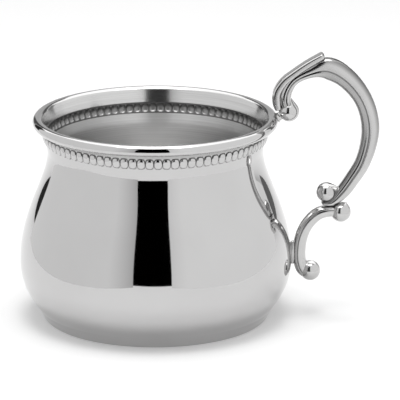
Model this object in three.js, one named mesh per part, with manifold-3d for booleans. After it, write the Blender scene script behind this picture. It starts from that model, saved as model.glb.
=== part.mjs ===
// Baby cup in polished metal: a pot-bellied spun body on a flat base plate, a beaded neck band,
// a rolled lip, and a cast double-scroll handle that is soldered to the lip and to the belly.
// Millimetres, +Z up. The origin is the middle of the base plate's underside. The handle points along +X.

import * as THREE from "three";
import { mergeVertices } from "three/addons/utils/BufferGeometryUtils.js";
import Module from "manifold-3d";

const wasm = await Module();
wasm.setup();

// Body
const wall = 1;
const bellyRadius = 37;
const bellyHeight = 15.3;
const bellyEase = 13.5; // how far the belly stays upright above its widest ring
const bellyRound = 6.65; // and below it
const neckRadius = 29.2; // at the neck's narrowest ring
const neckHeight = 48.6; // top edge of the body, where the beaded band sits
const waistDrop = 2.9; // from that edge down to the narrowest ring
const neckEase = 7.5; // how far the wall stays upright below the narrowest ring
const flareWidth = 1; // how far the wall widens from there up to the lip
const flareEase = 0.8; // how far it stays upright above the narrowest ring

// Base plate and foot
const baseRadius = 31.2; // outer radius where the plate and the body meet
const plateThickness = 1;
const plateEdgeInset = 0.5; // how far the plate's rounded edge draws in
const footFlare = 0.9; // how far the foot widens above the plate
const footHeight = 2.8; // top of the foot above the table, where the belly starts

// Beaded band
const bandHeight = 3;
const beadCount = 84;
const beadRise = 0.55;
const dimpleDepth = 0.45;
const beadFullness = 3.5; // 2 gives a round dome, and more a flatter one with steeper sides

// Rolled lip
const lipOverhang = 3.9; // how far the roll reaches past the neck
const lipHeight = 4; // from the band's top edge to the crest of the roll
const rollRadius = 1.2;
const rollUnderAngle = THREE.MathUtils.degToRad(-60); // where the outer collar runs into the roll
const rollOverAngle = THREE.MathUtils.degToRad(150); // where the roll runs into the throat
const collarFlare = 0.25; // how far the outer collar has widened where its curve is pulled to
const collarRise = 0.55; // height of that pull above the band
const throatFlare = 0.15; // the same for the inner side
const throatDrop = 2.6; // depth of its pull below the roll

// Handle: sizes that its pieces share
const ballRadius = 2.75;
const solderGap = 0.3;
const jointClearance = 0.15; // between a joint piece and the wall that it is soldered to

// Upper joint, between the lip's roll and the volute ball
const upperJointReach = 0.7;
const upperJointAngle = THREE.MathUtils.degToRad(28.2);
const jointPinRadius = 1.1;
const jointPinDepth = 1.2; // how far the pin goes into the ball

// Lower joint, between the belly and the lower scroll
const contactRise = 1.7; // height of the contact above the belly's widest ring
const padHalfWidth = 1.2;
const padHalfHeight = 2.4;
const padThickness = 1.1;

// Each ball draws out to a point where its scroll meets it: direction in degrees from +X, and reach.
const voluteTip = [86, 4.15];
const endBallTip = [25, 3.6];
const topBallTip = [61, 3.1];
const footBallTip = [80, 3];

// Upper scroll: [x, z, half width] of its centre line, first from the volute ball, then from its end ball
const upperScrollStart = [
  [0, 0, 1.5],
  [-1.05, 3.8, 1.6],
  [0.9, 8.4, 1.4],
  [5.5, 11, 1.65],
  [10.2, 11.95, 2.95],
  [15.2, 9.3, 2.75],
  [20, 3.2, 2.45],
];
const upperScrollEnd = [
  [11.65, 18.05, 2.43],
  [9.9, 9.05, 2.1],
  [6.7, 3.45, 1.95],
  [4, -0.25, 1.75],
  [1.3, -2.65, 0.9],
  [-1.4, -2.85, 0.35],
];
const upperScrollHalfDepth = 2.1;
const upperScrollSteps = 44;

// Thumb rest: [x, z, half thickness] from the volute ball up to the free tip
const thumbRestLine = [
  [-2.8, 0.35, 0.8],
  [-3.4, 2.82, 1.1],
  [-3.26, 5.42, 1.1],
  [-1.47, 8.31, 1],
  [1.08, 10.46, 0.9],
  [5.19, 13.31, 0.9],
  [9.3, 15.74, 0.8],
];
const thumbRestHalfDepth = 2.05;
const thumbRestSteps = 18;

// Lower scroll: [x, z, half width] from its contact with the belly, from the top ball down to the foot ball
const lowerScrollHalfWidth = 1.75; // at the contact
const lowerScrollTop = [
  [11.2, 11.4, 1.5],
  [8.35, 11.7, 1.6],
  [5.25, 11, 1.7],
  [2.25, 8.1, 1.72],
  [0.55, 4.3, 1.75],
];
const lowerScrollFoot = [
  [0.3, -2.8, 1.8],
  [1.15, -4.7, 1.9],
  [2.5, -6, 1.6],
];
const lowerScrollHalfDepth = 1.9;
const lowerScrollSteps = 24;
const endBallPlace = [7.25, 16.95];
const topBallPlace = [11.2, 11.4];
const footBallPlace = [3.05, -5.2];

// Facets
const turnSegments = 72;
const lowerBellySteps = 6;
const upperBellySteps = 9;
const flareSteps = 2;
const edgeSteps = 2;
const stepsPerBead = 3;
const beadRows = [0, 0.25, 0.5, 0.75, 1]; // shares of the band's height
const dimpleRows = [1, 0.5, 0];
const collarSteps = 3;
const rollSteps = 8;
const scrollSides = 12;
const ballSides = 12;
const ballArcSteps = 7;
const mergeTolerance = 1e-4;

const waistHeight = neckHeight - waistDrop;
const bandTop = neckHeight + bandHeight;
const point = (x, y) => new THREE.Vector2(x, y);
const placedFrom = (origin) => ([x, z, half]) => new THREE.Vector3(origin.x + x, origin.y + z, half);

// A closed outline of radius and height, turned round the Z axis.
function turned(outline, segments = turnSegments) {
  return new THREE.LatheGeometry(outline, segments).rotateX(Math.PI / 2);
}

function toSolid(geometry) {
  const bare = geometry.clone();
  bare.deleteAttribute("normal");
  bare.deleteAttribute("uv");
  const merged = mergeVertices(bare, mergeTolerance);
  const mesh = new wasm.Mesh({
    numProp: 3,
    vertProperties: Float32Array.from(merged.attributes.position.array),
    triVerts: Uint32Array.from(merged.index.array),
  });
  return new wasm.Manifold(mesh);
}

function cut(geometry, cutters) {
  const solid = cutters.reduce((left, cutter) => left.subtract(toSolid(cutter)), toSolid(geometry));
  const mesh = solid.getMesh();
  const result = new THREE.BufferGeometry();
  result.setAttribute("position", new THREE.BufferAttribute(mesh.vertProperties, 3));
  result.setIndex(new THREE.BufferAttribute(mesh.triVerts, 1));
  return result;
}

// A rod of oval section along a line in the XZ plane. Each point of the line carries the half width there.
function bentRod(line, halfDepth, steps, grow = 0) {
  const curve = new THREE.CatmullRomCurve3(line);
  const rod = new THREE.CylinderGeometry(1, 1, 1, scrollSides, steps);
  const position = rod.attributes.position;
  for (let i = 0; i < position.count; i += 1) {
    const along = THREE.MathUtils.clamp(position.getY(i) + 0.5, 0, 1);
    const centre = curve.getPointAt(along);
    const tangent = curve.getTangentAt(along);
    const heading = point(tangent.x, tangent.y).normalize();
    const sideways = position.getX(i) * (centre.z + grow);
    const deep = position.getZ(i) * (halfDepth + grow);
    position.setXYZ(i, centre.x - heading.y * sideways, deep, centre.y + heading.x * sideways);
  }
  return rod;
}

// A ball drawn out to a point: a sphere with the cone that touches it all round.
function drawnBall(centre, [tipDegrees, tipReach], grow = 0) {
  const radius = ballRadius + grow;
  const reach = (tipReach * radius) / ballRadius;
  const touch = Math.asin(radius / reach);
  const sphere = new THREE.EllipseCurve(0, 0, radius, radius, -Math.PI / 2, touch);
  return new THREE.LatheGeometry([...sphere.getPoints(ballArcSteps), point(0, reach)], ballSides)
    .rotateX(Math.PI / 2)
    .rotateY(THREE.MathUtils.degToRad(90 - tipDegrees))
    .translate(centre.x, 0, centre.y);
}

// Outer radius of the wall at a height between the narrowest ring and the lip.
function flaredRadius(height) {
  const bend = bandTop - waistHeight - 2 * flareEase;
  const along = (Math.sqrt(flareEase ** 2 + bend * (height - waistHeight)) - flareEase) / bend;
  return neckRadius + flareWidth * along ** 2;
}

// The body's outline from the base up to the band, drawn in by the given inset.
function bodyOutline(inset) {
  const foot = point(baseRadius - inset, plateThickness);
  const heel = point(foot.x + footFlare, footHeight);
  const widest = point(bellyRadius - inset, bellyHeight);
  const waist = point(neckRadius - inset, waistHeight);
  const roundPull = point(widest.x, bellyHeight - bellyRound);
  const bellyPull = point(widest.x, bellyHeight + bellyEase);
  const neckPull = point(waist.x, waistHeight - neckEase);
  const lower = new THREE.QuadraticBezierCurve(heel, roundPull, widest).getPoints(lowerBellySteps);
  const upper = new THREE.CubicBezierCurve(widest, bellyPull, neckPull, waist).getPoints(upperBellySteps);
  const flare = Array.from({ length: flareSteps }, (_, i) => {
    const height = waistHeight + (waistDrop * (i + 1)) / flareSteps;
    return point(flaredRadius(height) - inset, height);
  });
  return [foot, ...lower, ...upper.slice(1), ...flare];
}

function cupBody() {
  const outside = bodyOutline(0);
  const inside = bodyOutline(wall).reverse();
  return turned([...outside, ...inside, outside[0]]);
}

function basePlate() {
  const standing = point(baseRadius - plateEdgeInset, 0);
  const edgePull = point(baseRadius - plateEdgeInset / 3, plateThickness / 3);
  const rim = point(baseRadius, plateThickness);
  const edge = new THREE.QuadraticBezierCurve(standing, edgePull, rim).getPoints(edgeSteps);
  return turned([point(0, 0), ...edge, point(0, plateThickness)]);
}

// Beads stand out of the band's outside, and dimples of the same pitch are pressed into its inside.
function beadedBand() {
  const wallPoint = (inset) => (share) => {
    const height = neckHeight + share * bandHeight;
    return point(flaredRadius(height) - inset, height);
  };
  const outerRows = beadRows.map(wallPoint(0));
  const innerRows = dimpleRows.map(wallPoint(wall));
  const ring = turned([...outerRows, ...innerRows, outerRows[0]], beadCount * stepsPerBead);
  const position = ring.attributes.position;
  for (let i = 0; i < position.count; i += 1) {
    const [x, y, z] = [position.getX(i), position.getY(i), position.getZ(i)];
    const radius = Math.hypot(x, y);
    const height = radius > flaredRadius(z) - wall / 2 ? beadRise : dimpleDepth;
    const beads = (Math.atan2(y, x) * beadCount) / (2 * Math.PI);
    const across = 2 * (beads - Math.floor(beads)) - 1;
    const upward = (2 * (z - neckHeight)) / bandHeight - 1;
    const rim = Math.min(Math.hypot(across, upward), 1) ** beadFullness;
    const stretch = 1 + (height * Math.sqrt(1 - rim)) / radius;
    position.setXYZ(i, x * stretch, y * stretch, z);
  }
  return ring;
}

const rollCentre = point(neckRadius + lipOverhang - rollRadius, bandTop + lipHeight - rollRadius);

function rolledLip() {
  const outside = point(flaredRadius(bandTop), bandTop);
  const inside = point(outside.x - wall, bandTop);
  const angles = [rollUnderAngle, rollOverAngle];
  const roll = new THREE.EllipseCurve(rollCentre.x, rollCentre.y, rollRadius, rollRadius, ...angles);
  const rollPoints = roll.getPoints(rollSteps);
  const under = rollPoints[0];
  const over = rollPoints[rollSteps];
  const outerPull = point(outside.x + collarFlare, bandTop + collarRise);
  const innerPull = point(inside.x + throatFlare, over.y - throatDrop);
  const outerCollar = new THREE.QuadraticBezierCurve(outside, outerPull, under).getPoints(collarSteps);
  const innerCollar = new THREE.QuadraticBezierCurve(over, innerPull, inside).getPoints(collarSteps);
  return turned([...outerCollar, ...rollPoints.slice(1), ...innerCollar.slice(1), outside]);
}

// Places in the handle: the upper scroll starts at the lip, and the lower scroll stands off the belly.
const jointDirection = point(Math.cos(upperJointAngle), Math.sin(upperJointAngle));
const volute = rollCentre.clone().addScaledVector(jointDirection, rollRadius + upperJointReach + ballRadius);
const contact = point(bellyRadius + solderGap + lowerScrollHalfWidth, bellyHeight + contactRise);
const fromContact = ([x, z]) => point(contact.x + x, contact.y + z);
const endBall = fromContact(endBallPlace);
const topBall = fromContact(topBallPlace);
const footBall = fromContact(footBallPlace);

function upperScrollRod(grow) {
  const line = [...upperScrollStart.map(placedFrom(volute)), ...upperScrollEnd.map(placedFrom(endBall))];
  return bentRod(line, upperScrollHalfDepth, upperScrollSteps, grow);
}

function lowerScrollRod() {
  const line = [...lowerScrollTop, [0, 0, lowerScrollHalfWidth], ...lowerScrollFoot];
  return bentRod(line.map(placedFrom(contact)), lowerScrollHalfDepth, lowerScrollSteps);
}

function jointPin(grow) {
  const start = rollRadius + jointClearance - grow;
  const length = upperJointReach + jointPinDepth - jointClearance + 2 * grow;
  const middle = rollCentre.clone().addScaledVector(jointDirection, start + length / 2);
  return new THREE.CylinderGeometry(jointPinRadius + grow, jointPinRadius + grow, length, scrollSides)
    .rotateZ(upperJointAngle - Math.PI / 2)
    .rotateX(Math.PI / 2)
    .translate(middle.x, 0, middle.y);
}

function jointPad(grow) {
  return new THREE.CylinderGeometry(1, 1, padThickness + 2 * grow, scrollSides)
    .rotateZ(Math.PI / 2)
    .scale(1, padHalfWidth + grow, padHalfHeight + grow)
    .translate(bellyRadius + jointClearance + padThickness / 2, 0, contact.y);
}

function upperScroll() {
  const cutters = [drawnBall(volute, voluteTip, solderGap), drawnBall(endBall, endBallTip, solderGap)];
  return cut(upperScrollRod(0), cutters);
}

function thumbRest() {
  const strap = bentRod(thumbRestLine.map(placedFrom(volute)), thumbRestHalfDepth, thumbRestSteps);
  const cutters = [upperScrollRod(solderGap), drawnBall(volute, voluteTip, solderGap), jointPin(solderGap)];
  return cut(strap, cutters);
}

function lowerScroll() {
  const cutters = [
    drawnBall(endBall, endBallTip, solderGap),
    drawnBall(topBall, topBallTip, solderGap),
    drawnBall(footBall, footBallTip, solderGap),
    upperScrollRod(solderGap),
    jointPad(solderGap),
  ];
  return cut(lowerScrollRod(), cutters);
}

const polish = { color: 0xd6d6d3, roughness: 0.12, metalness: 1 };
const cast = { color: 0xcfcfcb, roughness: 0.2, metalness: 1 };

function piece(name, geometry, finish) {
  const mesh = new THREE.Mesh(geometry, new THREE.MeshStandardMaterial(finish));
  mesh.name = name;
  return mesh;
}

const cup = new THREE.Group();
cup.add(
  piece("base_plate", basePlate(), polish),
  piece("cup_body", cupBody(), polish),
  piece("beaded_band", beadedBand(), polish),
  piece("rolled_lip", rolledLip(), polish),
);

const handle = new THREE.Group();
handle.add(
  piece("upper_scroll", upperScroll(), cast),
  piece("upper_scroll_ball", cut(drawnBall(volute, voluteTip), [jointPin(solderGap)]), cast),
  piece("upper_scroll_end_ball", drawnBall(endBall, endBallTip), cast),
  piece("thumb_rest", thumbRest(), cast),
  piece("lower_scroll", lowerScroll(), cast),
  piece("lower_scroll_top_ball", cut(drawnBall(topBall, topBallTip), [upperScrollRod(solderGap)]), cast),
  piece("lower_scroll_foot_ball", drawnBall(footBall, footBallTip), cast),
  piece("upper_joint_pin", jointPin(0), cast),
  piece("lower_joint_pad", jointPad(0), cast),
);
cup.add(handle);

export default cup;
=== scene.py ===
"""Looks of a baby cup in polished metal.

The cup has a spun body, a beaded neck, a rolled lip and a cast scroll handle. Meshes are drawn in
millimetres in the part's own frame, with +Z up and the handle along +X, and each is scaled to metres
once, when it becomes a piece.
"""

import logging
import math
from bisect import bisect_left
from dataclasses import dataclass
from enum import Enum

import bmesh
import bpy
from mathutils import Matrix, Vector
from mathutils.geometry import interpolate_bezier


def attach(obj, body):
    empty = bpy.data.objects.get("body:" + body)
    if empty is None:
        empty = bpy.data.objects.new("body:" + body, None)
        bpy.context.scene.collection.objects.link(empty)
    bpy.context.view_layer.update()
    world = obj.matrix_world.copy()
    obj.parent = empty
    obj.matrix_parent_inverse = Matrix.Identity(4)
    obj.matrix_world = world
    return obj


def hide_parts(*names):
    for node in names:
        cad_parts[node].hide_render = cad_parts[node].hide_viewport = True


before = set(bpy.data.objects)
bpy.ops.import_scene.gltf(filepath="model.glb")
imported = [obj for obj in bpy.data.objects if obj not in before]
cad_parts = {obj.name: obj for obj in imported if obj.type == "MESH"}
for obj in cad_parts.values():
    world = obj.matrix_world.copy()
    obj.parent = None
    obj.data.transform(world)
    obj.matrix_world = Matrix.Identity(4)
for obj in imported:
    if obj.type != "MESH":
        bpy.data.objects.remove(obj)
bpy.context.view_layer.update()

log = logging.getLogger("baby_cup")

MM = 0.001
ROOT = "root"
MERGE_DISTANCE = 1e-4
SHARP_ANGLE = math.radians(38)
Z_AXIS = Vector((0, 0, 1))

# Layers of the meshes: the brightness of a card, and the painted shade that darkens the metal
GLOW = "glow"
PAINTED_SHADE = "painted_shade"

Pair = tuple[float, float]
Triple = tuple[float, float, float]


class Slot(Enum):
    """Material slots of the record."""

    SHELL = "polished_shell"
    HANDLE = "cast_handle"
    SOLDER = "solder"


class Ray(Enum):
    """Light Path outputs that a stage material asks for."""

    CAMERA = "Is Camera Ray"
    GLOSSY = "Is Glossy Ray"
    TRANSMISSION = "Is Transmission Ray"


def quadratic(start: Vector, pull: Vector, end: Vector, count: int) -> list[Vector]:
    """Samples a curve with one pull point.

    Args:
        start: First point.
        pull: Point that the curve leans to.
        end: Last point.
        count: Number of points, ends included.

    Returns:
        The points in order.
    """
    return interpolate_bezier(start, start.lerp(pull, 2 / 3), end.lerp(pull, 2 / 3), end, count)


def arc(centre: Vector, radius: float, first: float, last: float, count: int) -> list[Vector]:
    """Samples a circular arc in the XZ plane.

    Args:
        centre: Middle of the circle.
        radius: Its radius.
        first: Angle of the first point from +X towards +Z, in radians.
        last: Angle of the last point.
        count: Number of points, ends included.

    Returns:
        The points in order.
    """
    angles = [first + (last - first) * i / (count - 1) for i in range(count)]
    return [centre + radius * Vector((math.cos(a), 0, math.sin(a))) for a in angles]


def straight(start: Vector, end: Vector, count: int) -> list[Vector]:
    """Steps along a straight line.

    Args:
        start: First point.
        end: Point that the steps stop short of.
        count: Number of steps.

    Returns:
        The points in order, without the end.
    """
    return [start.lerp(end, i / count) for i in range(count)]


def ramp(value: float, start: float, end: float) -> float:
    """Places a number on a straight rise.

    Args:
        value: Number to place.
        start: Value at which the rise starts.
        end: Value at which it is complete, which may be the lower one.

    Returns:
        A number from 0 to 1.
    """
    return min(max((value - start) / (end - start), 0.0), 1.0)


def eased(share: float) -> float:
    """Moves even shares from 0 to 1 closer together towards both ends."""
    return 0.5 - 0.5 * math.cos(math.pi * share)


def add_outline(
    bm: bmesh.types.BMesh, outline: list[Vector], closed: bool
) -> list[bmesh.types.BMVert | bmesh.types.BMEdge]:
    """Draws a chain of edges.

    Args:
        bm: Mesh that takes the chain.
        outline: Points in order.
        closed: Whether the last point joins the first.

    Returns:
        The new vertices and edges.
    """
    verts = [bm.verts.new(p) for p in outline]
    pairs = list(zip(verts, verts[1:]))
    if closed:
        pairs.append((verts[-1], verts[0]))
    return verts + [bm.edges.new(pair) for pair in pairs]


def turn(outline: list[Vector], steps: int, closed: bool = True) -> bmesh.types.BMesh:
    """Spins an outline of radius (X) and height (Z) round the Z axis.

    Args:
        outline: Points in order.
        steps: Number of steps in the full turn.
        closed: Whether the outline closes on itself. An open one starts and ends on the axis.

    Returns:
        A closed mesh with its faces pointing out.
    """
    bm = bmesh.new()
    chain = add_outline(bm, outline, closed)
    bmesh.ops.spin(
        bm, geom=chain, cent=Vector(), axis=Z_AXIS, angle=math.tau, steps=steps, use_merge=True
    )
    bmesh.ops.remove_doubles(bm, verts=bm.verts, dist=MERGE_DISTANCE)
    bmesh.ops.recalc_face_normals(bm, faces=bm.faces)
    return bm


class ScrollLine:
    """A smooth line through points of a scroll, each with its half width, walked by arc length."""

    SAMPLES = 24

    def __init__(self, points: list[Vector]) -> None:
        """Samples the line through the points (x, z, half width)."""
        first = 2 * points[0] - points[1]
        last = 2 * points[-1] - points[-2]
        around = [first, *points, last]
        self.points = [points[0].copy()]
        for four in zip(around, around[1:], around[2:], around[3:]):
            self.points += self._stretch(*four)[1:]
        self.lengths = [0.0]
        for a, b in zip(self.points, self.points[1:]):
            self.lengths.append(self.lengths[-1] + (b - a).length)

    def _stretch(self, before: Vector, start: Vector, end: Vector, after: Vector) -> list[Vector]:
        """Samples the stretch between two points, with slopes that allow for uneven spacing.

        Args:
            before: Point before the stretch.
            start: Its first point.
            end: Its last point.
            after: Point after the stretch.

        Returns:
            Points from start to end.
        """
        first = math.sqrt((start - before).length)
        run = math.sqrt((end - start).length)
        last = math.sqrt((after - end).length)
        leave = (start - before) / first - (end - before) / (first + run) + (end - start) / run
        arrive = (end - start) / run - (after - start) / (run + last) + (after - end) / last
        pull_start = start + leave * run / 3
        pull_end = end - arrive * run / 3
        return interpolate_bezier(start, pull_start, pull_end, end, self.SAMPLES)

    def at(self, share: float) -> tuple[Vector, Vector]:
        """Walks along the line.

        Args:
            share: Share of the whole length, from 0 to 1.

        Returns:
            The point (x, z, half width) there, and the unit heading in the XZ plane.
        """
        reach = share * self.lengths[-1]
        index = min(max(bisect_left(self.lengths, reach) - 1, 0), len(self.lengths) - 2)
        run = self.lengths[index + 1] - self.lengths[index]
        a, b = self.points[index], self.points[index + 1]
        heading = Vector((b.x - a.x, b.y - a.y)).normalized()
        return a.lerp(b, (reach - self.lengths[index]) / run), heading


@dataclass(frozen=True)
class RodForm:
    """How a cast rod is made round its line.

    Attributes:
        half_depth: Half depth across the plane of the scroll.
        sides: Sides of the section.
        rings: Rings along the line.
        round_start: Share of the length over which the first end is rounded.
        round_end: Share of the length over which the last end is rounded.
        squareness: 2 gives an oval section, and more one with flatter sides.
        groove_depth: Share of the depth that a groove along each broad side takes away; any groove also
            gets painted shade.
        groove_place: Place of the groove across the rod, from -1 to 1.
        groove_width: Width of the groove on the same scale.
        inner_shade: Painted shade on the side that faces into the scroll.
        inner_across: Places across the rod where that darkening starts and is full.
        inner_along: Shares of the length where it starts and is full.
        outer_shade: Painted shade on the outer edge.
        outer_across: Places across the rod where that darkening starts and is full.
        outer_along: Shares of the length between which it comes and goes.
        start_shade: Share of the length near the first end that gets painted shade for the hollow
            there.
    """

    LEAST_SECTION = 0.0004

    half_depth: float
    sides: int
    rings: int
    round_start: float = 0.0
    round_end: float = 0.0
    squareness: float = 2.0
    groove_depth: float = 0.0
    groove_place: float = 0.0
    groove_width: float = 0.1
    inner_shade: float = 0.0
    inner_across: Pair = (0.25, -0.6)
    inner_along: Pair = (0.16, 0.32)
    outer_shade: float = 0.0
    outer_across: Pair = (0.5, 0.92)
    outer_along: Pair = (0.06, 0.76)
    start_shade: float = 0.0

    def swell(self, share: float) -> float:
        """Gives the share of the full section that is left near a rounded end."""
        beyond = 0.0
        if share < self.round_start:
            beyond = 1 - share / self.round_start
        elif share > 1 - self.round_end:
            beyond = (share - 1 + self.round_end) / self.round_end
        return math.sqrt(max(1 - beyond * beyond, self.LEAST_SECTION))

    def groove(self, across: float) -> float:
        """Gives how far into the groove a place across the rod lies, from 0 to 1."""
        return math.exp(-(((across - self.groove_place) / self.groove_width) ** 2))

    def section(self, across: float, depth: float) -> Pair:
        """Turns a point of a unit circle into the rod's section.

        Args:
            across: Place across the rod.
            depth: Place through its depth.

        Returns:
            The point moved onto the section, on the same scale.
        """
        power = self.squareness
        size = (abs(across) ** power + abs(depth) ** power) ** (1 / power)
        if size > 0:
            across, depth = across / size, depth / size
        return across, depth * (1 - self.groove_depth * self.groove(across))

    def shade(self, across: float, share: float) -> float:
        """Gives the painted shade on the metal, from 0 to 1.

        Args:
            across: Place across the rod, from -1 on the inner side to 1.
            share: Share of the length.

        Returns:
            The strongest of the painted shades in the groove, on the inner side, on the outer edge and
            in the hollow at the start.
        """
        groove = self.groove(across) if self.groove_depth > 0 else 0.0
        inner = self.inner_shade * ramp(share, *self.inner_along) * ramp(across, *self.inner_across)
        bowed = math.sin(math.pi * ramp(share, *self.outer_along))
        outer = self.outer_shade * bowed * ramp(across, *self.outer_across)
        hollow = ramp(share, self.start_shade, 0) if self.start_shade > 0 else 0.0
        return max(groove, inner, outer, hollow)

    def build(self, line: ScrollLine) -> bmesh.types.BMesh:
        """Makes an upright rod and bends it along the line.

        Args:
            line: Centre line with its half widths.

        Returns:
            A closed mesh.
        """
        bm = bmesh.new()
        painted_shade = bm.verts.layers.float.new(PAINTED_SHADE)
        bmesh.ops.create_cone(
            bm, cap_ends=True, cap_tris=False, segments=self.sides, radius1=1, radius2=1, depth=1
        )
        upright = [e for e in bm.edges if abs(e.verts[0].co.z - e.verts[1].co.z) > 0.5]
        bmesh.ops.subdivide_edges(bm, edges=upright, cuts=self.rings - 1)
        for vert in bm.verts:
            share = eased(ramp(vert.co.z, -0.5, 0.5))
            centre, heading = line.at(share)
            swell = self.swell(share)
            across, depth = self.section(vert.co.x, vert.co.y)
            # Painted shade in the groove, on the inner side, on the outer edge and at the start
            vert[painted_shade] = self.shade(across, share)
            sideways = across * centre.z * swell
            deep = depth * self.half_depth * swell
            along_x = centre.x - heading.y * sideways
            along_z = centre.y + heading.x * sideways
            vert.co = Vector((along_x, deep, along_z))
        bmesh.ops.recalc_face_normals(bm, faces=bm.faces)
        return bm


class MetalNodes:
    """The node tree of a new metal, with the nodes that the finishes share."""

    def __init__(self, made: bpy.types.Material) -> None:
        """Makes the material's own shader a metal."""
        made.use_nodes = True
        self.nodes = made.node_tree.nodes
        self.links = made.node_tree.links
        self.shader = self.nodes["Principled BSDF"]
        self.shader.inputs["Metallic"].default_value = 1.0
        self.place = self.nodes.new("ShaderNodeTexCoord").outputs["Object"]

    def stretched(self, scale: Triple) -> bpy.types.NodeSocket:
        """Gives the Object coordinates with a scale of its own along each axis."""
        mapping = self.nodes.new("ShaderNodeMapping")
        mapping.inputs["Scale"].default_value = scale
        self.links.new(self.place, mapping.inputs["Vector"])
        return mapping.outputs["Vector"]

    def noise(
        self, place: bpy.types.NodeSocket, detail: float, scale: float = 1.0
    ) -> bpy.types.NodeSocket:
        """Adds a noise pattern.

        Args:
            place: Coordinates of the pattern.
            detail: How many finer layers it has.
            scale: Its scale.

        Returns:
            The pattern's value.
        """
        pattern = self.nodes.new("ShaderNodeTexNoise")
        pattern.inputs["Scale"].default_value = scale
        pattern.inputs["Detail"].default_value = detail
        self.links.new(place, pattern.inputs["Vector"])
        return pattern.outputs["Fac"]

    def tone(
        self, pattern: bpy.types.NodeSocket, stops: Pair, colours: tuple[Triple, Triple]
    ) -> bpy.types.NodeSocket:
        """Colours a pattern.

        Args:
            pattern: The pattern's value.
            stops: Values at which the first colour ends and the second is full.
            colours: The two colours.

        Returns:
            The colour.
        """
        blend = self.nodes.new("ShaderNodeValToRGB")
        for index, (stop, colour) in enumerate(zip(stops, colours)):
            blend.color_ramp.elements[index].position = stop
            blend.color_ramp.elements[index].color = (*colour, 1)
        self.links.new(pattern, blend.inputs["Fac"])
        return blend.outputs["Color"]

    def darkened(self, colour: bpy.types.NodeSocket, loss: float) -> bpy.types.NodeSocket:
        """Darkens a colour by the painted shade in the layer PAINTED_SHADE.

        Args:
            colour: The clean colour.
            loss: Share of it that is lost where the layer is 1.

        Returns:
            The darkened colour.
        """
        layer = self.nodes.new("ShaderNodeAttribute")
        layer.attribute_name = PAINTED_SHADE
        left = self.nodes.new("ShaderNodeMath")
        left.operation = "MULTIPLY_ADD"
        left.inputs[1].default_value = -loss
        left.inputs[2].default_value = 1.0
        self.links.new(layer.outputs["Fac"], left.inputs[0])
        shaded = self.nodes.new("ShaderNodeVectorMath")
        shaded.operation = "SCALE"
        self.links.new(colour, shaded.inputs[0])
        self.links.new(left.outputs["Value"], shaded.inputs["Scale"])
        return shaded.outputs["Vector"]

    def soften(self, pattern: bpy.types.NodeSocket, roughness: Pair) -> None:
        """Lets a pattern move the shader's roughness between two limits."""
        soft = self.nodes.new("ShaderNodeMapRange")
        soft.inputs["To Min"].default_value = roughness[0]
        soft.inputs["To Max"].default_value = roughness[1]
        self.links.new(pattern, soft.inputs["Value"])
        self.links.new(soft.outputs["Result"], self.shader.inputs["Roughness"])

    def bump(self, pattern: bpy.types.NodeSocket, strength: float, depth: float) -> bpy.types.Node:
        """Adds a bump.

        Args:
            pattern: Its height.
            strength: Its strength.
            depth: Its depth in metres.

        Returns:
            The node.
        """
        made = self.nodes.new("ShaderNodeBump")
        made.inputs["Strength"].default_value = strength
        made.inputs["Distance"].default_value = depth
        self.links.new(pattern, made.inputs["Height"])
        return made


@dataclass(frozen=True)
class MirrorPolish:
    """Buffed metal with the faint haze and hairlines that handling leaves.

    Attributes:
        name: Material name.
        bright: Colour of clean metal.
        hazy: Colour of the faint haze.
        roughness: Lowest and highest roughness.
        hairline: Strength of the polishing lines.
        waviness: Strength of the slow waves in the surface.
        haze_scale: Scale of the haze.
        hairline_scale: Scale of the polishing lines along X, Y and Z.
        wave_scale: Scale of the waves.
        painted_shade: Share of the colour that the painted shade takes away where the layer
            PAINTED_SHADE is 1.
    """

    HAZE_DETAIL = 4.0
    HAZE_STOPS = (0.35, 0.75)
    HAIRLINE_DETAIL = 2.0
    HAIRLINE_DEPTH = 0.00002
    WAVE_DETAIL = 0.0
    WAVE_DEPTH = 0.0001

    name: str
    bright: Triple
    hazy: Triple
    roughness: Pair
    hairline: float
    waviness: float
    haze_scale: float = 55.0
    hairline_scale: Triple = (160.0, 160.0, 3800.0)
    wave_scale: float = 140.0
    painted_shade: float = 0.0

    def material(self) -> bpy.types.Material:
        """Builds the material, once for each name."""
        found = bpy.data.materials.get(self.name)
        if found:
            return found
        made = bpy.data.materials.new(self.name)
        metal = MetalNodes(made)
        inputs = metal.shader.inputs
        haze = metal.noise(metal.place, self.HAZE_DETAIL, self.haze_scale)
        tone = metal.tone(haze, self.HAZE_STOPS, (self.bright, self.hazy))
        metal.links.new(metal.darkened(tone, self.painted_shade), inputs["Base Color"])
        metal.soften(haze, self.roughness)
        lines = metal.noise(metal.stretched(self.hairline_scale), self.HAIRLINE_DETAIL)
        waves = metal.noise(metal.place, self.WAVE_DETAIL, self.wave_scale)
        fine = metal.bump(lines, self.hairline, self.HAIRLINE_DEPTH)
        slow = metal.bump(waves, self.waviness, self.WAVE_DEPTH)
        metal.links.new(fine.outputs["Normal"], slow.inputs["Normal"])
        metal.links.new(slow.outputs["Normal"], inputs["Normal"])
        return made


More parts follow.
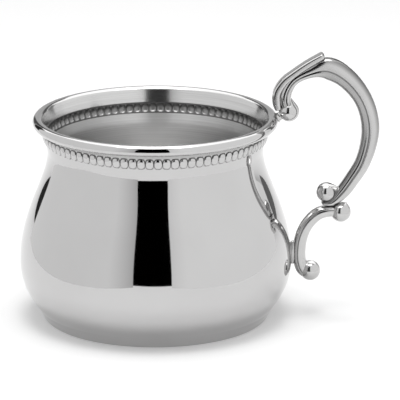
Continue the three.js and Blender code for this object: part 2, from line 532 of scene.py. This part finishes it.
@dataclass(frozen=True)
class SpunSatin:
    """The unpolished inside of a spun wall, with the fine rings of the spinning tool.

    Attributes:
        name: Material name.
        bright: Colour on the ridges of the rings.
        dark: Colour in their grooves.
        roughness: Lowest and highest roughness.
        ring_scale: Scale of the ring pattern along X, Y and Z.
        groove: Strength of the rings in the surface.
        stretch: How much the rings draw reflections out across them.
    """

    RING_DETAIL = 3.0
    RING_STOPS = (0.3, 0.7)
    RING_DEPTH = 0.00003
    QUARTER_TURN = 0.25

    name: str
    bright: Triple
    dark: Triple
    roughness: Pair
    ring_scale: Triple = (28.0, 28.0, 4200.0)
    groove: float = 0.35
    stretch: float = 0.75

    def material(self) -> bpy.types.Material:
        """Builds the material, once for each name."""
        found = bpy.data.materials.get(self.name)
        if found:
            return found
        made = bpy.data.materials.new(self.name)
        metal = MetalNodes(made)
        inputs = metal.shader.inputs
        inputs["Anisotropic"].default_value = self.stretch
        inputs["Anisotropic Rotation"].default_value = self.QUARTER_TURN
        rings = metal.noise(metal.stretched(self.ring_scale), self.RING_DETAIL)
        tone = metal.tone(rings, self.RING_STOPS, (self.dark, self.bright))
        metal.links.new(tone, inputs["Base Color"])
        metal.soften(rings, self.roughness)
        grooves = metal.bump(rings, self.groove, self.RING_DEPTH)
        metal.links.new(grooves.outputs["Normal"], inputs["Normal"])
        return made


SHELL_POLISH = MirrorPolish(
    "shell_polish", (0.555, 0.552, 0.552), (0.535, 0.531, 0.531), (0.03, 0.055),
    hairline=0.02, waviness=0.015,
)
# The bead, cast and dimple polishes also lose colour where the mesh layer holds painted shade
BEAD_POLISH = MirrorPolish(
    "bead_polish", (0.555, 0.552, 0.552), (0.52, 0.516, 0.516), (0.04, 0.08),
    hairline=0.02, waviness=0.02, painted_shade=0.85,
)
STRIP_POLISH = MirrorPolish(
    "strip_polish", (0.42, 0.418, 0.416), (0.36, 0.358, 0.356), (0.1, 0.18),
    hairline=0.03, waviness=0.03,
)
CAST_POLISH = MirrorPolish(
    "cast_polish", (0.57, 0.567, 0.565), (0.49, 0.487, 0.485), (0.1, 0.18),
    hairline=0.03, waviness=0.06, hairline_scale=(900.0, 900.0, 900.0), wave_scale=420.0,
    painted_shade=0.75,
)
SOLDER_POLISH = MirrorPolish(
    "solder_polish", (0.56, 0.557, 0.555), (0.48, 0.477, 0.475), (0.12, 0.2),
    hairline=0.04, waviness=0.1, hairline_scale=(1200.0, 1200.0, 1200.0), wave_scale=900.0,
)
# The dimples' polish is a darker copy of the bead polish: painted shade that dims the lamp's reflection
# in them
DIMPLE_SHADED_POLISH = MirrorPolish(
    "dimple_shaded_polish", (0.36, 0.358, 0.356), (0.31, 0.308, 0.306), (0.3, 0.4),
    hairline=0.03, waviness=0.05, painted_shade=0.7,
)
INSIDE_SATIN = SpunSatin(
    "inside_satin", (0.73, 0.728, 0.726), (0.62, 0.618, 0.616), (0.3, 0.42), stretch=0.86
)
THROAT_SATIN = SpunSatin(
    "throat_satin", (0.6, 0.598, 0.596), (0.53, 0.528, 0.526), (0.15, 0.22), groove=0.2
)
BOTTOM_SATIN = SpunSatin(
    "bottom_satin", (0.52, 0.518, 0.516), (0.42, 0.418, 0.416), (0.42, 0.56), stretch=0.5
)


def make_piece(
    bm: bmesh.types.BMesh, name: str, finishes: list[MirrorPolish | SpunSatin], node: str
) -> None:
    """Turns a mesh drawn in millimetres into a finished piece on the cup's body.

    Args:
        bm: Mesh, which is freed.
        name: Piece name.
        finishes: Finishes in the order of the faces' material numbers.
        node: CAD node that the piece stands for.
    """
    bmesh.ops.scale(bm, vec=(MM, MM, MM), verts=bm.verts)
    for face in bm.faces:
        face.smooth = True
    mesh = bpy.data.meshes.new(name)
    bm.to_mesh(mesh)
    bm.free()
    mesh.set_sharp_from_angle(angle=SHARP_ANGLE)
    for finish in finishes:
        mesh.materials.append(finish.material())
    piece = bpy.data.objects.new(name, mesh)
    bpy.context.scene.collection.objects.link(piece)
    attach(piece, ROOT)
    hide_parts(node)
    log.info("%s: %d faces, for %s", name, len(mesh.polygons), node)


@dataclass(frozen=True)
class CupShell:
    """The spun body, its base plate, the beaded band and the rolled lip. Sizes are in millimetres.

    Attributes:
        belly_ease: Rise of the curve's pull point above the widest ring.
        belly_round: Drop of the curve's pull point below that ring.
        waist_drop: Drop of the neck's narrowest ring below the beads.
        neck_ease: Drop of the curve's pull point below the narrowest ring.
        flare_width: Growth of the radius from there to the lip.
        flare_ease: Rise of the flare's pull point above the narrowest ring.
        bead_across: Power of a bead's outline along the band. 2 is an oval, and more is squarer.
        bead_upright: Power of the outline up the band.
        dimple_share: Share of the band's height that a dimple fills.
        outline_power: Power that spreads the places on a bead for its painted dark outline.
        outline_place: Place of the painted outline on that scale.
        outline_spread: Softness of the painted outline towards the bead and away from it.
        outline_tone: Strength of the painted shade of the outline at half height, and its growth to the
            top.
        dimple_tone: Painted shade of a dimple at half height, and its growth to the top and to the
            bottom.
        roll_swell: Growth of the lip's roll inwards and downwards.
        roll_under: Angle at which the roll starts, from outwards towards up.
        roll_over: Angle at which it ends.
    """

    FACING_UP = 0.9
    FACING_IN = -0.6

    wall: float = 1.0
    belly_radius: float = 37.0
    belly_height: float = 15.3
    belly_ease: float = 13.5
    belly_round: float = 6.65
    neck_radius: float = 29.2
    neck_height: float = 48.6
    waist_drop: float = 2.9
    neck_ease: float = 7.5
    flare_width: float = 1.0
    flare_ease: float = 0.8
    base_radius: float = 31.2
    plate_thickness: float = 1.0
    plate_edge_inset: float = 0.5
    foot_flare: float = 0.9
    foot_height: float = 2.8
    band_height: float = 3.0
    bead_count: int = 84
    bead_rise: float = 0.55
    bead_across: float = 2.7
    bead_upright: float = 2.2
    dimple_depth: float = 0.45
    dimple_share: float = 0.72
    outline_power: float = 0.4
    outline_place: float = 0.95
    outline_spread: Pair = (0.07, 0.2)
    outline_tone: Pair = (0.62, 0.38)
    dimple_tone: Triple = (0.3, 0.7, 0.35)
    lip_overhang: float = 3.9
    lip_height: float = 4.0
    roll_radius: float = 1.2
    roll_swell: float = 0.25
    roll_under: float = math.radians(-90)
    roll_over: float = math.radians(150)
    collar_flare: float = 0.15
    collar_rise: float = 1.05
    throat_flare: float = 0.15
    throat_drop: float = 2.6
    turn_steps: int = 288
    curve_points: int = 48
    foot_steps: int = 12
    flare_steps: int = 16
    plate_edge_points: int = 10
    bead_columns: int = 18
    bead_rows: int = 22
    dimple_rows: int = 26
    strip_steps: int = 8
    ledge_steps: int = 6
    roll_points: int = 40
    throat_points: int = 20

    @property
    def waist_height(self) -> float:
        """Height of the neck's narrowest ring."""
        return self.neck_height - self.waist_drop

    @property
    def band_top(self) -> float:
        """Height of the band's top edge."""
        return self.neck_height + self.band_height

    @property
    def roll_centre(self) -> Vector:
        """Centre of the lip's roll."""
        radius = self.neck_radius + self.lip_overhang - self.roll_radius
        return Vector((radius, 0, self.band_top + self.lip_height - self.roll_radius))

    def flared_radius(self, height: float) -> float:
        """Gives the wall's outer radius at a height between the narrowest ring and the lip."""
        bend = self.band_top - self.waist_height - 2 * self.flare_ease
        root = math.sqrt(self.flare_ease ** 2 + bend * (height - self.waist_height))
        return self.neck_radius + self.flare_width * ((root - self.flare_ease) / bend) ** 2

    def wall_line(self, inset: float) -> list[Vector]:
        """Draws one side of the body's wall from the base up to the beads.

        Args:
            inset: How far the line lies inside the outer surface.

        Returns:
            Points of radius and height.
        """
        foot = Vector((self.base_radius - inset, 0, self.plate_thickness))
        widest = Vector((self.belly_radius - inset, 0, self.belly_height))
        waist = Vector((self.neck_radius - inset, 0, self.waist_height))
        heel = Vector((foot.x + self.foot_flare, 0, self.foot_height))
        round_pull = widest - self.belly_round * Z_AXIS
        belly_pull = widest + self.belly_ease * Z_AXIS
        neck_pull = waist - self.neck_ease * Z_AXIS
        rise = straight(foot, heel, self.foot_steps)
        lower = quadratic(heel, round_pull, widest, self.curve_points)
        upper = interpolate_bezier(widest, belly_pull, neck_pull, waist, self.curve_points)
        shares = [(i + 1) / self.flare_steps for i in range(self.flare_steps)]
        heights = [self.waist_height + self.waist_drop * share for share in shares]
        flare = [Vector((self.flared_radius(h) - inset, 0, h)) for h in heights]
        return [*rise, *lower, *upper[1:], *flare]

    @staticmethod
    def outwardness(face: bmesh.types.BMFace) -> float:
        """Gives how far a face points away from the cup's axis, from -1 to 1."""
        return face.calc_center_median().xy.normalized().dot(face.normal.xy)

    def build_body(self) -> None:
        """Spins the body's wall, polished outside and satin inside."""
        outside = self.wall_line(0)
        inside = self.wall_line(self.wall)
        bm = turn([*outside, *reversed(inside)], self.turn_steps)
        for face in bm.faces:
            face.material_index = 0 if self.outwardness(face) > 0 else 1
        make_piece(bm, "body_wall", [SHELL_POLISH, INSIDE_SATIN], "cup_body")

    def build_base(self) -> None:
        """Spins the base plate, with a rounded edge below and a satin floor inside the cup."""
        standing = Vector((self.base_radius - self.plate_edge_inset, 0, 0))
        pull = Vector((self.base_radius - self.plate_edge_inset / 3, 0, self.plate_thickness / 3))
        rim = Vector((self.base_radius, 0, self.plate_thickness))
        edge = quadratic(standing, pull, rim, self.plate_edge_points)
        top = Vector((0, 0, self.plate_thickness))
        bm = turn([Vector(), *edge, top], self.turn_steps, closed=False)
        for face in bm.faces:
            face.material_index = 1 if face.normal.z > self.FACING_UP else 0
        make_piece(bm, "base_disc", [SHELL_POLISH, BOTTOM_SATIN], "base_plate")

    def band_line(self, rows: int, inset: float) -> list[Vector]:
        """Draws one side of the band, with its rows closer together towards the edges.

        Args:
            rows: Number of steps up the band.
            inset: How far the line lies inside the outer surface.

        Returns:
            Points of radius and height.
        """
        shares = [eased(i / rows) for i in range(rows + 1)]
        heights = [self.neck_height + self.band_height * share for share in shares]
        return [Vector((self.flared_radius(h) - inset, 0, h)) for h in heights]

    def bead_shade(self, filled: float, upward: float) -> float:
        """Gives the painted shade on a bead's outline, from 0 to 1.

        Args:
            filled: Place on the bead, from 0 in its middle to 1 on its outline.
            upward: Height on the band, from -1 to 1.

        Returns:
            The painted shade, heaviest on top of the bead.
        """
        edge = filled ** self.outline_power - self.outline_place
        towards, away = self.outline_spread
        spread = towards if edge < 0 else away
        middle, growth = self.outline_tone
        return math.exp(-((edge / spread) ** 2)) * (middle + growth * upward)

    def dimple_shade(self, upward: float) -> float:
        """Gives the painted shade of a dimple, from 0 to 1, at a height on the band from -1 to 1."""
        middle, above, below = self.dimple_tone
        return middle + max(above * upward, -below * upward)

    def build_band(self) -> None:
        """Spins the band and raises its beads, with a dimple behind each, and paints shade round the
        beads and in the dimples.
        """
        outer = self.band_line(self.bead_rows, 0)
        inner = self.band_line(self.dimple_rows, self.wall)
        bm = turn([*outer, *reversed(inner)], self.bead_count * self.bead_columns)
        painted_shade = bm.verts.layers.float.new(PAINTED_SHADE)
        pitch = math.tau / self.bead_count
        middle = self.neck_height + self.band_height / 2
        for vert in bm.verts:
            radius = math.hypot(vert.co.x, vert.co.y)
            angle = math.atan2(vert.co.y, vert.co.x)
            bead = math.floor(angle / pitch)
            across = 2 * (angle / pitch - bead) - 1
            swept = math.sin(math.pi / 2 * across)
            upward = 2 * (vert.co.z - middle) / self.band_height
            outward = radius > self.flared_radius(vert.co.z) - self.wall / 2
            height = self.bead_rise if outward else self.dimple_depth
            tall = 1.0 if outward else self.dimple_share
            filled = abs(swept) ** self.bead_across + abs(upward / tall) ** self.bead_upright
            # Painted shade: a dark outline round each bead, and dimples that darken away from their
            # middle, most towards the top
            if outward:
                vert[painted_shade] = self.bead_shade(filled, upward)
            else:
                vert[painted_shade] = self.dimple_shade(upward)
            turned = pitch * (bead + 0.5 + swept / 2)
            reach = radius + height * math.sqrt(1 - min(filled, 1.0))
            vert.co = Vector((reach * math.cos(turned), reach * math.sin(turned), vert.co.z))
        bmesh.ops.recalc_face_normals(bm, faces=bm.faces)
        for face in bm.faces:
            face.material_index = 0 if self.outwardness(face) > 0 else 1
        make_piece(bm, "bead_row", [BEAD_POLISH, DIMPLE_SHADED_POLISH], "beaded_band")

    def build_lip(self) -> None:
        """Spins the plain strip above the beads, the ledge under the roll, the roll and the throat."""
        outside = Vector((self.flared_radius(self.band_top), 0, self.band_top))
        inside = outside - self.wall * Vector((1, 0, 0))
        centre = self.roll_centre - self.roll_swell * Vector((1, 0, 1))
        radius = self.roll_radius + self.roll_swell
        roll = arc(centre, radius, self.roll_under, self.roll_over, self.roll_points)
        strip_top = outside + Vector((self.collar_flare, 0, self.collar_rise))
        inner_pull = Vector((inside.x + self.throat_flare, 0, roll[-1].z - self.throat_drop))
        strip = straight(outside, strip_top, self.strip_steps)
        ledge = straight(strip_top, roll[0], self.ledge_steps)
        throat = quadratic(roll[-1], inner_pull, inside, self.throat_points)
        bm = turn([*strip, *ledge, *roll, *throat[1:]], self.turn_steps)
        for face in bm.faces:
            if self.outwardness(face) < self.FACING_IN:
                face.material_index = 1
            elif face.calc_center_median().z < strip_top.z:
                face.material_index = 2
        finishes = [SHELL_POLISH, THROAT_SATIN, STRIP_POLISH]
        make_piece(bm, "lip_roll", finishes, "rolled_lip")

    def build(self) -> None:
        """Builds the four pieces from the base up."""
        self.build_base()
        self.build_body()
        self.build_band()
        self.build_lip()


@dataclass(frozen=True)
class ScrollHandle:
    """The cast double-scroll handle with its balls, thumb rest and solder. Sizes are in millimetres.

    Attributes:
        shell: The cup that carries the handle.
        joint_reach: Gap between the lip's roll and the volute ball.
        joint_angle: Direction of that gap, from +X towards +Z.
        joint_flare: Growth of the pin's radius towards its ends.
        pin_extra: How much longer the pin is than the gap.
        pin_sink: How far the pin starts inside the roll.
        contact_rise: Height of the contact with the belly above its widest ring.
        volute_tip: Direction in degrees and reach of the volute ball's point. The other tips are alike.
        end_place: X and Z of the upper scroll's end ball, from the contact. The other places are alike.
        upper_start: Line of the upper scroll from the volute ball, each point as X, Z and half width.
        upper_end: The rest of that line, from the end ball.
        thumb_line: Line of the thumb rest, from the volute ball.
        lower_top: Line of the lower scroll above the contact, from the contact.
        lower_foot: Line below the contact, from the contact.
    """

    shell: CupShell
    ball_radius: float = 2.75
    solder_gap: float = 0.3
    joint_reach: float = 0.7
    joint_angle: float = math.radians(28.2)
    joint_radius: float = 1.1
    joint_flare: float = 0.5
    pin_extra: float = 1.2
    pin_sink: float = 0.3
    contact_rise: float = 1.7
    pad_half_depth: float = 1.0
    pad_half_width: float = 1.2
    pad_half_height: float = 3.4
    volute_tip: Pair = (86, 4.15)
    end_tip: Pair = (25, 3.6)
    top_tip: Pair = (61, 3.1)
    foot_tip: Pair = (80, 3.0)
    end_place: Pair = (7.25, 16.95)
    top_place: Pair = (11.2, 11.4)
    foot_place: Pair = (3.05, -5.2)
    upper_half_depth: float = 2.1
    thumb_half_depth: float = 2.05
    lower_half_depth: float = 1.9
    lower_half_width: float = 1.75
    ball_steps: int = 48
    ball_points: int = 40
    taper_steps: int = 6
    pin_steps: int = 16
    pad_steps: tuple[int, int] = (32, 24)
    upper_start: tuple[Triple, ...] = (
        (0, 0, 1.5),
        (-1.05, 3.8, 1.6),
        (0.9, 8.4, 1.4),
        (5.5, 11, 1.65),
        (10.2, 11.95, 2.95),
        (15.2, 9.3, 2.75),
        (20, 3.2, 2.45),
    )
    upper_end: tuple[Triple, ...] = (
        (11.65, 18.05, 2.43),
        (9.9, 9.05, 2.1),
        (6.7, 3.45, 1.95),
        (4, -0.25, 1.75),
        (1.3, -2.65, 0.9),
        (-1.4, -2.85, 0.35),
    )
    thumb_line: tuple[Triple, ...] = (
        (-2.8, 0.35, 0.8),
        (-3.4, 2.82, 1.1),
        (-3.26, 5.42, 1.1),
        (-1.47, 8.31, 1.0),
        (1.08, 10.46, 0.9),
        (5.19, 13.31, 0.9),
        (9.3, 15.74, 0.8),
    )
    lower_top: tuple[Triple, ...] = (
        (11.2, 11.4, 1.5),
        (8.35, 11.7, 1.6),
        (5.25, 11, 1.7),
        (2.25, 8.1, 1.72),
        (0.55, 4.3, 1.75),
    )
    lower_foot: tuple[Triple, ...] = (
        (0.3, -2.8, 1.8),
        (1.15, -4.7, 1.9),
        (2.5, -6, 1.6),
    )

    @property
    def joint_heading(self) -> Vector:
        """Direction from the lip's roll to the volute ball."""
        return Vector((math.cos(self.joint_angle), 0, math.sin(self.joint_angle)))

    @property
    def volute(self) -> Vector:
        """Centre of the volute ball beside the lip."""
        reach = self.shell.roll_radius + self.joint_reach + self.ball_radius
        return self.shell.roll_centre + reach * self.joint_heading

    @property
    def contact(self) -> Vector:
        """Middle of the lower scroll where it meets the belly."""
        radius = self.shell.belly_radius + self.solder_gap + self.lower_half_width
        return Vector((radius, 0, self.shell.belly_height + self.contact_rise))

    def from_contact(self, place: Pair) -> Vector:
        """Gives a place that is measured from the contact."""
        return self.contact + Vector((place[0], 0, place[1]))

    @staticmethod
    def line_from(origin: Vector, points: tuple[Triple, ...]) -> list[Vector]:
        """Gives line points (x, z, half width) that are measured from an origin."""
        return [Vector((origin.x + x, origin.z + z, half)) for x, z, half in points]

    @staticmethod
    def cast(bm: bmesh.types.BMesh, name: str, node: str) -> None:
        """Finishes a mesh as a polished casting."""
        make_piece(bm, name, [CAST_POLISH], node)

    def drawn_ball(self, centre: Vector, tip: Pair) -> bmesh.types.BMesh:
        """Spins a ball that draws out to a point where its scroll meets it.

        Args:
            centre: Centre of the ball.
            tip: Direction of the point in degrees from +X towards +Z, and its reach.

        Returns:
            A closed mesh in place.
        """
        degrees, reach = tip
        touch = math.asin(self.ball_radius / reach)
        outline = arc(Vector(), self.ball_radius, -math.pi / 2, touch, self.ball_points)
        outline[0].x = 0
        point = Vector((0, 0, reach))
        taper = straight(outline[-1], point, self.taper_steps)
        bm = turn([*outline, *taper[1:], point], self.ball_steps, closed=False)
        lean = Matrix.Rotation(math.radians(90 - degrees), 4, "Y")
        bmesh.ops.transform(bm, matrix=Matrix.Translation(centre) @ lean, verts=bm.verts)
        return bm

    def build_upper(self) -> None:
        """Casts the upper scroll with its volute ball and end ball."""
        end = self.from_contact(self.end_place)
        points = self.line_from(self.volute, self.upper_start) + self.line_from(end, self.upper_end)
        # Painted shade on the upper arm's groove, inner side, outer edge and start
        rod = RodForm(
            self.upper_half_depth, sides=96, rings=220, round_end=0.01,
            squareness=2.9, groove_depth=0.1, groove_place=-0.15, groove_width=0.09,
            inner_shade=0.5, outer_shade=0.9, start_shade=0.05,
        )
        self.cast(rod.build(ScrollLine(points)), "upper_arm", "upper_scroll")
        volute = self.drawn_ball(self.volute, self.volute_tip)
        self.cast(volute, "volute_ball", "upper_scroll_ball")
        ball = self.drawn_ball(end, self.end_tip)
        self.cast(ball, "arm_end_ball", "upper_scroll_end_ball")

    def build_thumb_rest(self) -> None:
        """Casts the strap that runs up beside the arm to a free tip."""
        line = ScrollLine(self.line_from(self.volute, self.thumb_line))
        rod = RodForm(
            self.thumb_half_depth, sides=64, rings=140,
            round_start=0.03, round_end=0.03, squareness=4.5,
        )
        self.cast(rod.build(line), "thumb_strap", "thumb_rest")

    def build_lower(self) -> None:
        """Casts the lower scroll with the balls at its two ends."""
        contact = (0, 0, self.lower_half_width)
        points = self.line_from(self.contact, (*self.lower_top, contact, *self.lower_foot))
        # Painted shade on the lower arm's groove and inner side
        rod = RodForm(
            self.lower_half_depth, sides=96, rings=140,
            squareness=2.2, groove_depth=0.06, groove_place=-0.35, groove_width=0.09,
            inner_shade=0.15,
        )
        self.cast(rod.build(ScrollLine(points)), "lower_arm", "lower_scroll")
        top = self.drawn_ball(self.from_contact(self.top_place), self.top_tip)
        self.cast(top, "lower_top_ball", "lower_scroll_top_ball")
        foot = self.drawn_ball(self.from_contact(self.foot_place), self.foot_tip)
        self.cast(foot, "lower_foot_ball", "lower_scroll_foot_ball")

    def build_solder(self) -> None:
        """Makes the solder necks between the handle and the cup."""
        length = self.joint_reach + self.pin_extra
        outline = [Vector((0, 0, 0))]
        for step in range(self.pin_steps + 1):
            share = step / self.pin_steps
            waist = self.joint_radius + self.joint_flare * (2 * share - 1) ** 2
            outline.append(Vector((waist, 0, share * length)))
        outline.append(Vector((0, 0, length)))
        pin = turn(outline, self.ball_steps, closed=False)
        inset = self.shell.roll_radius - self.pin_sink
        start = self.shell.roll_centre + inset * self.joint_heading
        lean = Matrix.Rotation(math.pi / 2 - self.joint_angle, 4, "Y")
        bmesh.ops.transform(pin, matrix=Matrix.Translation(start) @ lean, verts=pin.verts)
        make_piece(pin, "lip_solder", [SOLDER_POLISH], "upper_joint_pin")

        pad = bmesh.new()
        around, upright = self.pad_steps
        bmesh.ops.create_uvsphere(pad, u_segments=around, v_segments=upright, radius=1)
        size = Vector((self.pad_half_depth, self.pad_half_width, self.pad_half_height))
        bmesh.ops.scale(pad, vec=size, verts=pad.verts)
        place = Vector((self.shell.belly_radius + self.solder_gap, 0, self.contact.z))
        bmesh.ops.translate(pad, vec=place, verts=pad.verts)
        make_piece(pad, "belly_solder", [SOLDER_POLISH], "lower_joint_pad")

    def build(self) -> None:
        """Builds the handle from the lip down to the belly."""
        self.build_upper()
        self.build_thumb_rest()
        self.build_lower()
        self.build_solder()


def hang_card(bm: bmesh.types.BMesh, name: str) -> None:
    """Makes a glowing card that the metal reflects, the camera doesn't see and the floor isn't lit by.

    Args:
        bm: Mesh in metres with its brightness at each point in the layer GLOW, which is freed.
        name: Object name.
    """
    mesh = bpy.data.meshes.new(name)
    bm.to_mesh(mesh)
    bm.free()
    made = bpy.data.materials.new(name)
    made.use_nodes = True
    nodes, links = made.node_tree.nodes, made.node_tree.links
    nodes.clear()
    level = nodes.new("ShaderNodeAttribute")
    level.attribute_name = GLOW
    glow = nodes.new("ShaderNodeEmission")
    links.new(level.outputs["Fac"], glow.inputs["Strength"])
    out = nodes.new("ShaderNodeOutputMaterial")
    links.new(glow.outputs["Emission"], out.inputs["Surface"])
    mesh.materials.append(made)
    card = bpy.data.objects.new(name, mesh)
    card.visible_camera = False
    card.visible_shadow = False
    card.visible_diffuse = False
    bpy.context.scene.collection.objects.link(card)


@dataclass(frozen=True)
class Panel:
    """An upright card beside the cup. Sizes are in millimetres.

    Attributes:
        name: Object name.
        start: Foot of one end, as X and Y.
        end: Foot of the other end.
        height: Height of the card.
        level: Brightness.
        foot: Height of its lower edge above the floor.
        dimmed: Share of the brightness that is left at the start.
        dimmed_run: Distance from the start over which it comes back.
    """

    name: str
    start: Pair
    end: Pair
    height: float
    level: float
    foot: float = 0.0
    dimmed: float = 1.0
    dimmed_run: float = 60.0

    def build(self) -> None:
        """Stands the card up."""
        start = Vector((*self.start, self.foot)) * MM
        end = Vector((*self.end, self.foot)) * MM
        turning = start.lerp(end, self.dimmed_run * MM / (end - start).length)
        bm = bmesh.new()
        glow = bm.verts.layers.float.new(GLOW)
        foot = [bm.verts.new(place) for place in (start, turning, end)]
        for vert, share in zip(foot, (self.dimmed, 1.0, 1.0)):
            vert[glow] = self.level * share
        edges = [bm.edges.new(pair) for pair in zip(foot, foot[1:])]
        raised = bmesh.ops.extrude_edge_only(bm, edges=edges)["geom"]
        top = [v for v in raised if isinstance(v, bmesh.types.BMVert)]
        bmesh.ops.translate(bm, vec=self.height * MM * Z_AXIS, verts=top)
        hang_card(bm, self.name)


@dataclass(frozen=True)
class Studio:
    """Pale floor, soft light, reflected cards and the camera. Sizes are in millimetres.

    Attributes:
        floor_drop: How far the floor lies below the cup, so that the two don't share a plane.
        floor_tone: Grey level of the paper.
        floor_lift: Brightness that the paper adds of its own where it is seen or reflected.
        sky_level: Brightness of the room as light.
        lamp_power: Power of the lamp in watts.
        ceiling_rise: Height of the ceiling card above the lamp.
        ceiling_back: How far the ceiling card's middle lies behind the cup.
        ceiling_level: Brightness of the ceiling card.
        camera_pitch: How far the camera looks down, in radians.
        camera_clip: Nearest distance that the camera sees, in metres.
        focal_pixels: Focal length in pixels of the image.
        panels: Upright cards round the cup.
    """

    floor_half: float = 3000.0
    floor_drop: float = 0.05
    floor_tone: float = 0.94
    floor_lift: float = 0.14
    sky_level: float = 0.56
    lamp_height: float = 700.0
    lamp_size: float = 460.0
    lamp_power: float = 2.8
    ceiling_half: float = 1000.0
    ceiling_rise: float = 20.0
    ceiling_back: float = 350.0
    ceiling_level: float = 1.85
    camera_place: Triple = (12.047, -873.67, 287.69)
    camera_pitch: float = 0.285
    camera_clip: float = 0.01
    focal_pixels: float = 3356.3
    image_width: float = 400.0
    sensor_width: float = 36.0
    panels: tuple[Panel, ...] = (
        Panel(
            "left_card", (-47.5, -166.0), (-182.0, 140.0), 235.0, 0.97, dimmed=0.64, dimmed_run=63.0
        ),
        Panel(
            "right_card", (36.0, -164.0), (224.0, 122.0), 235.0, 1.085, dimmed=0.88, dimmed_run=40.0
        ),
        Panel("dark_card", (-140.0, -206.0), (140.0, -206.0), 400.0, 0.0),
        Panel("far_left_card", (-409.0, 368.0), (-307.0, 456.0), 300.0, 0.03),
        Panel("far_right_card", (409.0, 368.0), (319.0, 448.0), 300.0, 0.17),
        Panel("back_card", (-180.0, 560.0), (180.0, 560.0), 500.0, 0.56, foot=50.0),
        Panel("back_left_card", (-320.0, 500.0), (-180.0, 560.0), 500.0, 0.1, foot=60.0),
        Panel("back_right_card", (320.0, 500.0), (180.0, 560.0), 500.0, 0.1, foot=60.0),
    )

    @staticmethod
    def seen_directly(nodes: bpy.types.Nodes, links: bpy.types.NodeLinks) -> bpy.types.NodeSocket:
        """Adds nodes that tell rays to the camera or to a reflection from rays that carry light.

        Args:
            nodes: Nodes of the material or world.
            links: Its links.

        Returns:
            A socket that is 1 for such rays.
        """
        path = nodes.new("ShaderNodeLightPath")
        total = path.outputs[Ray.CAMERA.value]
        for ray in (Ray.GLOSSY, Ray.TRANSMISSION):
            either = nodes.new("ShaderNodeMath")
            either.operation = "MAXIMUM"
            links.new(total, either.inputs[0])
            links.new(path.outputs[ray.value], either.inputs[1])
            total = either.outputs["Value"]
        return total

    def build_floor(self) -> None:
        """Lays a pale matte floor that keeps the cup's shadow."""
        bm = bmesh.new()
        bmesh.ops.create_grid(bm, x_segments=1, y_segments=1, size=self.floor_half * MM)
        bmesh.ops.translate(bm, vec=-self.floor_drop * MM * Z_AXIS, verts=bm.verts)
        mesh = bpy.data.meshes.new("floor")
        bm.to_mesh(mesh)
        bm.free()
        made = bpy.data.materials.new("floor_paper")
        made.use_nodes = True
        nodes, links = made.node_tree.nodes, made.node_tree.links
        nodes.clear()
        paper = nodes.new("ShaderNodeBsdfDiffuse")
        tone = self.floor_tone
        paper.inputs["Color"].default_value = (tone, tone, tone, 1)
        lift = nodes.new("ShaderNodeMath")
        lift.operation = "MULTIPLY"
        lift.inputs[1].default_value = self.floor_lift
        links.new(self.seen_directly(nodes, links), lift.inputs[0])
        glow = nodes.new("ShaderNodeEmission")
        links.new(lift.outputs["Value"], glow.inputs["Strength"])
        both = nodes.new("ShaderNodeAddShader")
        links.new(paper.outputs["BSDF"], both.inputs[0])
        links.new(glow.outputs["Emission"], both.inputs[1])
        out = nodes.new("ShaderNodeOutputMaterial")
        links.new(both.outputs["Shader"], out.inputs["Surface"])
        mesh.materials.append(made)
        floor = bpy.data.objects.new("floor", mesh)
        bpy.context.scene.collection.objects.link(floor)

    def build_world(self) -> None:
        """Surrounds the cup with white, dimmer as light than as a background."""
        world = bpy.data.worlds.new("white_room")
        world.use_nodes = True
        nodes, links = world.node_tree.nodes, world.node_tree.links
        room = nodes["Background"]
        room.inputs["Color"].default_value = (1, 1, 1, 1)
        level = nodes.new("ShaderNodeMapRange")
        level.inputs["To Min"].default_value = self.sky_level
        level.inputs["To Max"].default_value = 1.0
        links.new(self.seen_directly(nodes, links), level.inputs["Value"])
        links.new(level.outputs["Result"], room.inputs["Strength"])
        bpy.context.scene.world = world

    def build_lamp(self) -> None:
        """Hangs one soft lamp over the cup."""
        data = bpy.data.lights.new("top_lamp", "AREA")
        data.shape = "DISK"
        data.size = self.lamp_size * MM
        data.energy = self.lamp_power
        lamp = bpy.data.objects.new("top_lamp", data)
        lamp.location = self.lamp_height * MM * Z_AXIS
        bpy.context.scene.collection.objects.link(lamp)

    def build_ceiling(self) -> None:
        """Hangs the bright card over the lamp that whitens the crest of the lip."""
        bm = bmesh.new()
        bmesh.ops.create_grid(bm, x_segments=1, y_segments=1, size=self.ceiling_half * MM)
        place = Vector((0, self.ceiling_back, self.lamp_height + self.ceiling_rise)) * MM
        bmesh.ops.translate(bm, vec=place, verts=bm.verts)
        glow = bm.verts.layers.float.new(GLOW)
        for vert in bm.verts:
            vert[glow] = self.ceiling_level
        hang_card(bm, "ceiling_card")

    def build_camera(self) -> None:
        """Sets the camera at the photograph's viewing angle."""
        data = bpy.data.cameras.new("camera")
        data.sensor_width = self.sensor_width
        data.lens = self.sensor_width * self.focal_pixels / self.image_width
        data.clip_start = self.camera_clip
        camera = bpy.data.objects.new("camera", data)
        camera.location = Vector(self.camera_place) * MM
        camera.rotation_euler = (math.pi / 2 - self.camera_pitch, 0, 0)
        bpy.context.scene.collection.objects.link(camera)
        bpy.context.scene.camera = camera

    def build(self) -> None:
        """Builds the stage and sets the view transform."""
        bpy.context.scene.view_settings.view_transform = "Standard"
        self.build_floor()
        self.build_world()
        self.build_lamp()
        self.build_ceiling()
        for panel in self.panels:
            panel.build()
        self.build_camera()


def main() -> None:
    """Builds the studio, the shell and the handle."""
    logging.basicConfig(level=logging.INFO)
    Studio().build()
    shell = CupShell()
    shell.build()
    ScrollHandle(shell).build()


if __name__ == "__main__":
    main()
